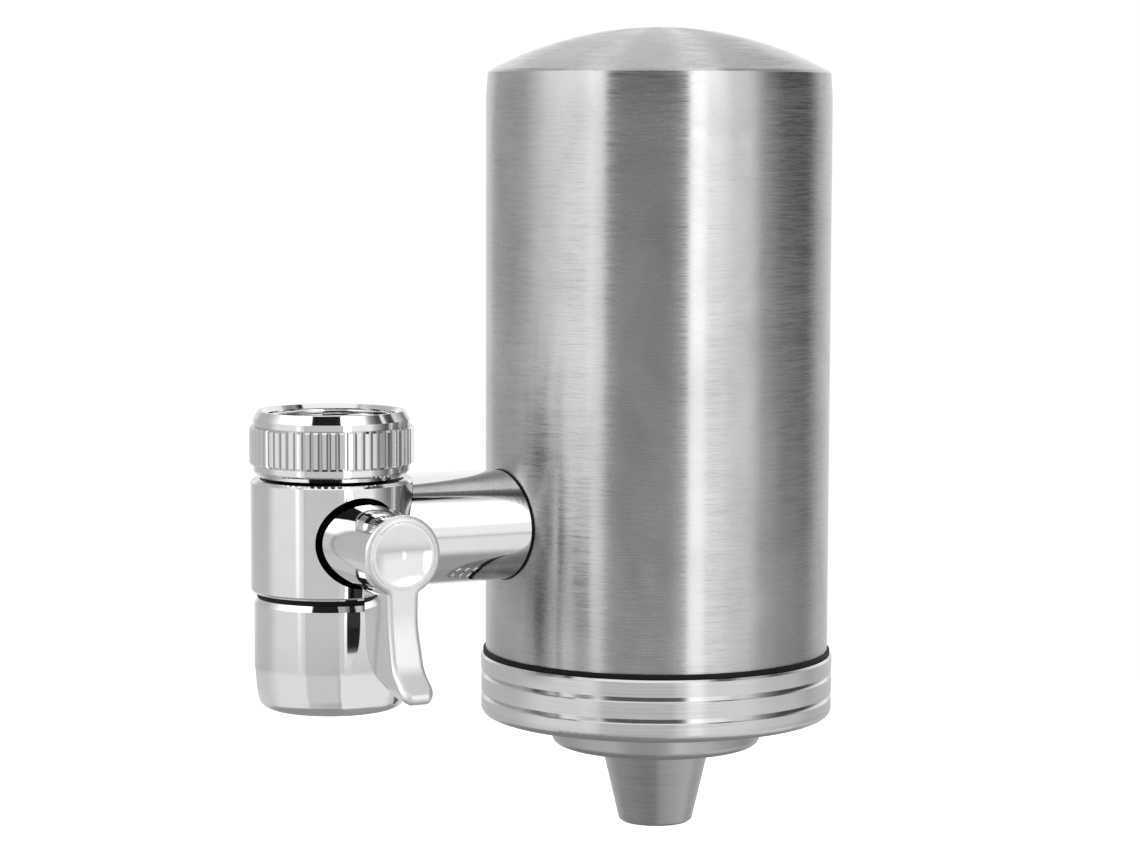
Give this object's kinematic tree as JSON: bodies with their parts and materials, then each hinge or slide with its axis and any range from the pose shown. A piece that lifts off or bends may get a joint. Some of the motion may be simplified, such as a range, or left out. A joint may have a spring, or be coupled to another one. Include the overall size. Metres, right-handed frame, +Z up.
{
  "type": "faucet mount water filter",
  "caption": "Water filter for a kitchen tap: a knurled swivel nut, a diverter with a lever, and an arm to a steel can with a ceramic candle and a spout below.",
  "frame": {"origin": "centre of the swivel nut's mouth, where the tap's spout enters", "axes": "+Z up along the nut's thread towards the tap, +X along the arm to the can, -Y along the lever's hub"},
  "size_m": [0.1059, 0.0677, 0.1392],
  "materials": {
    "chrome_plating": "polished",
    "brushed_steel": "satin",
    "polished_steel": "polished",
    "satin_metal": "satin",
    "spring_steel": "satin",
    "bare_brass": "satin",
    "black_rubber": "matte",
    "moulded_plastic": "satin",
    "fired_ceramic": "matte",
    "pressed_carbon": "matte"
  },
  "bodies": {
    "nut": {"faucet_nut": "chrome_plating"},
    "diverter": {"nut_retaining_ring": "spring_steel", "inlet_washer": "black_rubber", "inlet_strainer": "spring_steel", "diverter_body": "chrome_plating", "valve_gland": "bare_brass", "outlet_gasket": "black_rubber", "outlet_collar": "chrome_plating", "aerator_washer": "black_rubber", "aerator_insert": "moulded_plastic", "aerator_screen": "spring_steel", "inlet_arm": "chrome_plating", "arm_seal": "black_rubber", "arm_stud": "bare_brass", "can_gasket": "black_rubber", "saddle_nut": "bare_brass", "housing_can": "brushed_steel", "can_thread_ring": "spring_steel"},
    "handle": {"lever": "chrome_plating", "lever_cap": "chrome_plating", "lever_screw": "spring_steel", "valve_spool": "bare_brass", "spool_front_seal": "black_rubber", "spool_rear_seal": "black_rubber"},
    "gasket": {"closure_gasket": "black_rubber"},
    "closure": {"base_cap": "polished_steel", "spout": "satin_metal", "spout_seal": "black_rubber", "candle_base": "moulded_plastic", "nipple_seal": "black_rubber", "ceramic_candle": "fired_ceramic", "carbon_core": "pressed_carbon"}
  },
  "joints": [
    {"name": "nut_swivel", "type": "hinge", "parent": "nut", "child": "diverter", "pos_m": [0, 0, 0], "axis": [0, 0, 1], "continuous": true},
    {"name": "lever_turn", "type": "hinge", "parent": "diverter", "child": "handle", "pos_m": [0, 0, -0.02085], "axis": [0, 1, 0], "range_deg": [0, 90]},
    {"name": "cap_drop", "type": "slide", "parent": "diverter", "child": "gasket", "axis": [0, 0, -1], "range_m": [0, 0.0075]},
    {"name": "cap_turn", "type": "hinge", "parent": "gasket", "child": "closure", "pos_m": [0.0614, 0, -0.0449], "axis": [0, 0, -1], "range_deg": [0, 1800]}
  ],
  "couplings": [
    {"joint": "cap_drop", "follows": "cap_turn", "m_per_rad": 0.00023873}
  ]
}
